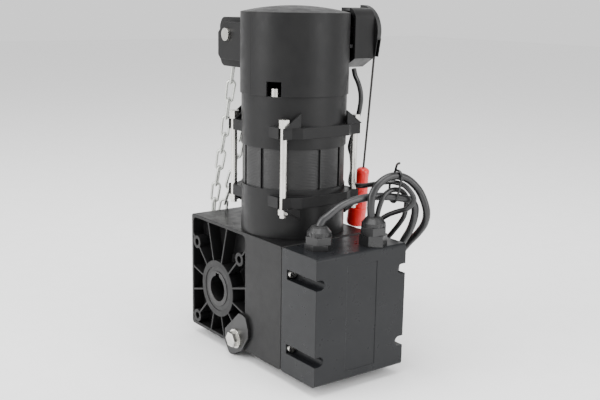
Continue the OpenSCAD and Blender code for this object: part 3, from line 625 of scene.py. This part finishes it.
@dataclass
class Studio:
    """The camera, the lights and the pale floor."""

    eye: Point = (741.7, -455.6, 278.5)
    ahead: Point = (-0.7825, 0.5853, -0.2124)
    roll: float = 0.977
    lens: float = 55.5
    sky: float = 1.15
    lights: tuple[Softbox, ...] = (
        Softbox("left_box", (-0.35, -1.35, 0.75), 0.9, 1.3, 24.0),
        Softbox("right_box", (1.45, 0.55, 0.70), 0.9, 1.3, 18.0),
        Softbox("top_box", (0.15, -0.15, 1.60), 1.2, 1.2, 30.0),
    )

    def camera(self) -> None:
        """Makes the scene's camera."""
        data = bpy.data.cameras.new("camera")
        data.lens = self.lens
        data.sensor_width = 36.0
        data.clip_start = 0.01
        camera = bpy.data.objects.new("camera", data)
        bpy.context.scene.collection.objects.link(camera)
        ahead = Vector(self.ahead).normalized()
        right = ahead.cross(Vector((0, 0, 1))).normalized()
        up = right.cross(ahead)
        turn = math.radians(self.roll)
        across = right * math.cos(turn) + up * math.sin(turn)
        upward = up * math.cos(turn) - right * math.sin(turn)
        basis = Matrix((across, upward, -ahead)).transposed().to_4x4()
        camera.matrix_world = Matrix.Translation(Vector(self.eye) * MM) @ basis
        bpy.context.scene.camera = camera

    def light(self) -> None:
        """Makes the sky and the softboxes, which all face the opener."""
        world = bpy.data.worlds.new("studio")
        world.use_nodes = True
        world.node_tree.nodes["Background"].inputs[0].default_value = (1.0, 1.0, 1.0, 1.0)
        world.node_tree.nodes["Background"].inputs[1].default_value = self.sky
        bpy.context.scene.world = world
        for box in self.lights:
            data = bpy.data.lights.new(box.name, "AREA")
            data.shape = "RECTANGLE"
            data.size = box.width
            data.size_y = box.height
            data.energy = box.power
            lamp = bpy.data.objects.new(box.name, data)
            bpy.context.scene.collection.objects.link(lamp)
            lamp.location = box.place
            lamp.rotation_euler = (Vector((0.05, 0.05, 0.1)) - Vector(box.place)).to_track_quat("-Z", "Y").to_euler()

    def floor(self) -> None:
        """Lays the pale floor."""
        reach = 6000.0
        corners = [Vector((x * reach, y * reach, FLOOR_Z - 0.2)) for x, y in ((-1, -1), (1, -1), (1, 1), (-1, 1))]
        ground = new_mesh("floor", corners, faces=[(0, 1, 2, 3)])
        dress(ground, FLOOR)


# Cords ------------------------------------------------------------------------------------------

@dataclass
class Cable:
    """A round cable, by its route, its coil if it has one, and what it ends in."""

    name: str
    route: tuple[Point, ...]
    diameter: float
    length: float
    finish: Finish
    nodes: tuple[str, ...]
    far_end: str
    winding: Winding | None = None
    tail: tuple[Point, ...] = ()
    plug: str = ""
    steps: int = 6

    def line(self) -> list[Vector]:
        """The cable's whole centreline, in millimetres."""
        points = [Vector(p) for p in self.route]
        if self.winding is None:
            return smooth_route(points, self.steps)
        wound = self.winding.line()
        free = smooth_route([*points, wound[0]], self.steps)
        tail = smooth_route([wound[-1], *self.winding.tail(self.tail)], self.steps)
        return [*free[:-1], *wound, *tail[1:]]

    def build(self) -> bpy.types.Object:
        """Returns:
            The cable.
        """
        line = self.line()
        piece = swept_tube(self.name, line, self.diameter, self.finish)
        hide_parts(*self.nodes)
        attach(piece, "housing")
        log.info("%s: %.3f m along its middle", self.name, length_of(line) * MM)
        return piece


@dataclass
class HandChain:
    """The hand chain: down from the guard, into its coil behind the box and back up.

    The links lie crosswise, so the chain's girth is the round that they fill, a little under their width.
    """

    wire: float = 3.0
    width: float = 11.0
    pitch: float = 18.5
    girth: float = 9.5
    length: float = 4.0
    down: tuple[Point, ...] = ((-2.4, 40, 215), (-5, 40, 200), (-12.5, 40, 171), (-22, 40, 141), (-35, 40, 105), (-46, 40, 79),
        (-55, 41, 66), (-58, 43, 54), (-59.8, 45.6, 30), (-60.2, 49.4, 6), (-64, 54, -18), (-70, 58, -38),
        (-77, 61.4, -49), (-84, 63.4, -52), (-97, 66.6, -52))
    up: tuple[Point, ...] = ((-32.9, 40, 215), (-35.6, 40, 206), (-43, 40, 176), (-50, 40, 146), (-58, 40, 118), (-66, 40, 90),
        (-74, 41, 60), (-77, 44, 34), (-73, 52, 10), (-66, 66, -8), (-61, 80, -16), (-59, 92, -18.6),
        (-58, 106, -19))
    winding: Winding = field(default_factory=lambda: Winding(
        (-112, 122, FLOOR_Z), (54.2, 43.0, 31.8), (5.6, 16.6, 27.6, 38.6), by_layer=True, last=0.75))

    def line(self) -> list[Vector]:
        """The chain's whole centreline, in millimetres."""
        wound = self.winding.line()
        first = smooth_route([*(Vector(p) for p in self.down), wound[0]], 5)
        second = smooth_route([wound[-1], *(Vector(p) for p in reversed(self.up))], 5)
        return [*first[:-1], *wound, *second[1:]]

    def build(self) -> bpy.types.Object:
        """Returns:
            The chain.
        """
        line = self.line()
        piece = linked_chain("hand_chain", trimmed(line, self.pitch / 2), self.wire, self.width, self.pitch,
                             CHAIN_ZINC)
        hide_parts("chain_front", "chain_back", "chain_coil")
        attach(piece, "housing")
        log.info("hand_chain: %.3f m along its middle", length_of(line) * MM)
        return piece


COIL_RADII = (46.2, 39.0, 31.8)
COIL_LEVELS = (3.6, 10.8, 18.0)
COIL_PLACE = (-2.0, 163.0)


@dataclass
class Wiring:
    """The two long cables, the link cable and the motor lead."""

    main: Cable = field(default_factory=lambda: Cable(
        name="supply_cable", diameter=7.0, length=3.0, finish=GREY_CABLE, nodes=("cable_a", "coil_a"),
        far_end="connector", plug="plug_a",
        route=((129.2, 24, 86), (129.8, 27, 91.4), (131, 32, 95), (132.8, 43, 102), (134.4, 55, 106),
               (136, 68, 107.6), (137, 81, 107.8), (141, 94, 106.8), (148.6, 108, 104.4), (149, 115, 100.5),
               (149.4, 118, 94), (147, 119, 84), (141, 120, 72), (132, 120, 58), (126, 119.5, 40), (124, 118.5, 5),
               (121, 118, -25), (110, 117, -46), (92, 117, -53.5), (58, 117, -54), (20, 117, -54)),
        winding=Winding((*COIL_PLACE, FLOOR_Z), COIL_RADII, COIL_LEVELS),
        tail=((-125, 26, 19.5), (-165, 21.5, 23), (-210, 20, 28), (-270, 20, 35), (-330, 20, 41), (-380, 21.5, 46),
              (-420, 25, 48.2), (-460, 29, 48.6), (-500, 36, 49.6), (-525, 41, 51.4), (-534, 42, 52.2),
              (-546.5, 42.2, 52.4))))
    control: Cable = field(default_factory=lambda: Cable(
        name="control_cable", diameter=7.0, length=3.0, finish=BLACK_CABLE, nodes=("cable_b", "coil_b"),
        far_end="connector", plug="plug_b",
        route=((144.2, 70, 91), (144, 69.4, 100), (144, 70, 109), (144.3, 72.4, 115.5), (145, 78, 121.7),
               (146, 87, 126), (147, 97, 126.4), (149, 108, 122.4), (152, 117, 114), (155, 122, 104),
               (157, 125, 92), (152, 128, 80), (142, 129, 68), (130, 127.5, 55), (119, 125.5, 38),
               (115.5, 123, 10), (113.5, 122.5, -20), (107, 124, -42), (94, 126, -52), (74, 125, -52.6),
               (54, 122.6, -46), (36, 119.6, -37), (20, 117.4, -32.4)),
        winding=Winding((*COIL_PLACE, FLOOR_Z + 22.2), COIL_RADII, COIL_LEVELS),
        tail=((-125, 27, 20), (-165, 25, 23.2), (-200, 26, 25.6), (-250, 31, 26), (-300, 34, 26), (-350, 37, 26),
              (-400, 40, 27), (-430, 41.6, 29.4), (-440, 42, 30), (-456.7, 42.3, 30.2))))
    link: Cable = field(default_factory=lambda: Cable(
        name="link_lead", diameter=4.6, length=0.12, finish=BLACK_CABLE, nodes=("link_cable",), far_end="object",
        route=((144.6, 76.4, 91), (144.4, 78, 97), (144.3, 80.4, 103), (144.2, 84, 109), (144, 91, 113),
               (144, 99, 113.3), (143.7, 106, 111), (143.4, 111.4, 106), (142.8, 113, 99), (141, 113, 88),
               (136, 113, 80), (130, 113, 73), (123, 112.6, 65), (117.5, 110.6, 58), (115, 107.4, 54),
               (114.5, 104, 53))))
    motor: Cable = field(default_factory=lambda: Cable(
        name="motor_cable", diameter=4.6, length=0.275, finish=BLACK_CABLE, nodes=("motor_lead",),
        far_end="object",
        route=((80, 99, 216), (83, 98.4, 210), (88, 98, 204), (91.6, 98, 196), (92.4, 98, 188), (90.6, 98, 178),
               (87.6, 98, 170), (85.4, 98, 162), (80, 98.6, 150), (77.6, 99, 142), (77, 102, 134), (77, 103, 121),
               (77.4, 101, 112), (80.4, 99, 107.6), (88, 98, 107.6), (101, 97.5, 109.6), (112, 96.5, 112.6),
               (123, 95.5, 115.6), (132, 95.5, 118.4), (141, 97.5, 119.8), (150, 103, 117.4), (156, 108, 109),
               (157, 108, 103), (153, 105, 97), (144, 102, 93), (134, 99, 88), (126.6, 96, 82), (123, 92, 76),
               (122, 90, 70))))

    def build(self) -> None:
        """Makes the four cables."""
        for cable in (self.main, self.control, self.link, self.motor):
            cable.build()


# Fittings ---------------------------------------------------------------------------------------

@dataclass
class PullHandle:
    """The red pull handle, a turned grip with a ring line, and its collar."""

    top: Point = (74.0, 119.6, 120.6)
    low: Point = (64.0, 119.6, 62.3)

    def build(self) -> None:
        """Makes the handle in place of its plain solid."""
        low, top = Vector(self.low), Vector(self.top)
        long = (top - low).length
        profile = [(0, 0), (6.6, 0), (7.8, 0.5), (8.7, 1.6), (9.05, 3.2), (9.1, 6), (9.1, 17.6), (8.95, 18.6),
                   (8.2, 19.0), (8.2, 20.2), (8.8, 20.6), (8.7, 22), (8.2, 30), (7.5, 38), (6.7, 45), (6.3, 50),
                   (6.35, 54), (6.1, 56.4), (5.2, 57.8), (3.4, long - 0.3), (1.6, long - 0.2), (0, long - 0.4)]
        piece = lathe("grip", profile, low, top - low, RED)
        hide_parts("pull_handle")
        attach(piece, "handle")
        log.info("grip: %d faces", len(piece.data.polygons))


@dataclass
class Glands:
    """The ribs of the two cable glands and the seal lips under the cables."""

    places: tuple[tuple[float, float, float], ...] = ((129.2, 23.8, 71.5), (144.4, 72.9, 76.5))

    def build(self) -> None:
        """Makes the ribs round each dome."""
        for n, (x, y, z) in enumerate(self.places):
            foot = Vector((x, y, z))
            ribs = ribs_round(f"gland_ribs_{n + 1}", foot, 10.35, 8.6, 18, (0.9, 1.5, 3.9), BLACK_PLASTIC)
            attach(ribs, "housing")
            lip = lathe(f"gland_lip_{n + 1}", [(0, 14.3), (7.2, 14.3), (7.2, 14.8), (6.4, 15.3), (5.2, 15.4),
                                               (0, 15.4)], foot, Vector((0, 0, 1)), RUBBER, 36)
            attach(lip, "housing")
            log.info("gland %d: ribs and lip", n + 1)


@dataclass
class Ties:
    """The ties that hold the cables over the hood and the two coils on the floor."""

    strap: float = 2.2
    bundle: tuple[Point, ...] = (
        (144, 97.4, 131.2), (149.4, 97.4, 130.6), (152, 97.4, 127), (151, 97.4, 121), (148, 97.4, 110),
        (145.6, 97.4, 103.6), (141.6, 97.4, 101.6), (137.4, 97.4, 103.6), (136.4, 97.4, 109),
        (137.2, 97.4, 119), (141.6, 97.4, 127.4), (144, 97.4, 131.2),
    )
    tail: tuple[Point, ...] = ((143.4, 97.4, 130.8), (146, 96, 135), (150, 93.6, 138), (155, 91, 139.6))

    def build(self) -> None:
        """Makes every tie."""
        self.strip("bundle_tie", [Vector(p) for p in self.bundle])
        self.strip("bundle_tie_end", [Vector(p) for p in self.tail])
        for n, angle in enumerate((-35.0, 85.0, 205.0)):
            self.strip(f"cable_coil_tie_{n + 1}", self.loop((*COIL_PLACE, FLOOR_Z), 27.2, 50.8, 45.4, angle))
            self.strip(f"chain_coil_tie_{n + 1}", self.loop((-112.0, 122.0, FLOOR_Z), 25.6, 60.4, 45.2, angle))

    def strip(self, name: str, points: list[Vector]) -> None:
        """Makes one strap along its points."""
        piece = swept_tube(name, smooth_route(points, 4), self.strap, BLACK_PLASTIC, 10)
        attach(piece, "housing")
        log.info("%s: %.0f mm round", name, length_of(points))

    def loop(self, foot: Point, inner: float, outer: float, height: float, angle: float) -> list[Vector]:
        """A closed loop round a coil's turns.

        Args:
            foot: The middle of the coil on the floor.
            inner: The loop's inner radius.
            outer: The loop's outer radius.
            height: The loop's top above the floor.
            angle: Where it stands round the coil, in degrees.

        Returns:
            The loop's points, the first one again at the end.
        """
        low, round_off = self.strap / 2, 3.0
        corners = [(inner, low + round_off), (inner, height - round_off), (inner + round_off, height),
                   (outer - round_off, height), (outer, height - round_off), (outer, low + round_off),
                   (outer - round_off, low), (inner + round_off, low), (inner, low + round_off)]
        turn = math.radians(angle)
        return [Vector((foot[0] + r * math.cos(turn), foot[1] + r * math.sin(turn), foot[2] + z))
                for r, z in corners]


@dataclass
class Frame:
    """The rigid parts, which keep their shapes and get their finishes."""

    def build(self) -> None:
        """Gives every shown node its finish."""
        slots = {part["node"]: part["material_slot"] for part in frame["record"]["subparts"]}
        for name, node in frame["nodes"].items():
            finish = NODE_FINISHES.get(name, SLOT_FINISHES[slots[name]])
            dress(node, finish)
        log.info("frame: %d nodes dressed", len(frame["nodes"]))


def write_sizes() -> None:
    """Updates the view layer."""
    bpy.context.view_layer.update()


def main() -> None:
    """Builds the camera, the finishes, the cords, the fittings and the studio, in that order."""
    studio = Studio()
    studio.camera()
    Frame().build()
    HandChain().build()
    Wiring().build()
    PullHandle().build()
    Glands().build()
    Ties().build()
    studio.light()
    studio.floor()
    write_sizes()


if __name__ == "__main__":
    main()
